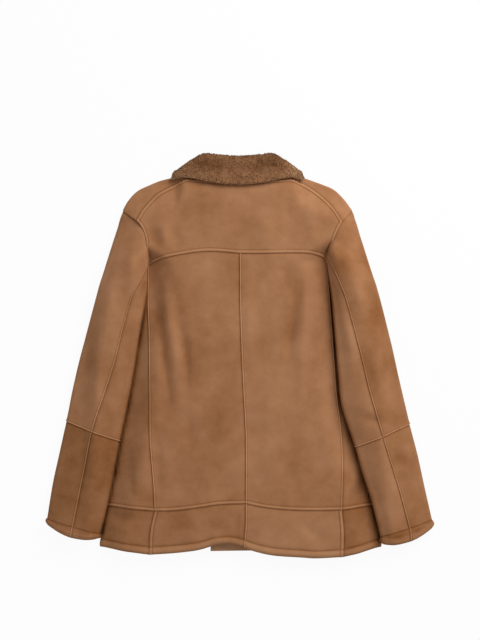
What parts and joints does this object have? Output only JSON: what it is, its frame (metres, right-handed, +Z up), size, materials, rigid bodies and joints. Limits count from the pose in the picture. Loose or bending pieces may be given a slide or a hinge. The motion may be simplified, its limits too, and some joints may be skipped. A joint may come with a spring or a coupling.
{
  "type": "shearling leather jacket",
  "caption": "Suede-side-out shearling jacket laid flat on its front, with yoked back, long sleeves, turned hem and cuffs, and a folded-down wool collar.",
  "frame": {"origin": "middle of the bottom of the bounding box, on the surface that the jacket lies on", "axes": "+X towards the wearer's right sleeve, +Y from the hem to the collar, +Z up out of the jacket's back"},
  "size_m": [0.7888, 0.8206, 0.052],
  "materials": {
    "suede": "tan suede side of a double-faced sheepskin, soft matt nap, with the sheared wool side within",
    "wool": "sheared curly sheep's wool, brown, matt",
    "horn": "dark brown horn-look button resin, satin"
  },
  "bodies": {
    "root": {"back_yoke": "suede", "back_left": "suede", "hem_back_left": "suede", "side_left": "suede", "hem_side_left": "suede", "front_left": "suede", "hem_front_left": "suede", "topsleeve_upper_left": "suede", "topsleeve_lower_left": "suede", "undersleeve_upper_left": "suede", "undersleeve_lower_left": "suede", "cuff_left": "suede", "back_right": "suede", "hem_back_right": "suede", "side_right": "suede", "hem_side_right": "suede", "front_right": "suede", "hem_front_right": "suede", "topsleeve_upper_right": "suede", "topsleeve_lower_right": "suede", "undersleeve_upper_right": "suede", "undersleeve_lower_right": "suede", "cuff_right": "suede", "button_1": "horn", "button_2": "horn", "button_3": "horn", "button_4": "horn", "collar_fall": "wool", "collar_stand": "suede"}
  },
  "joints": []
}
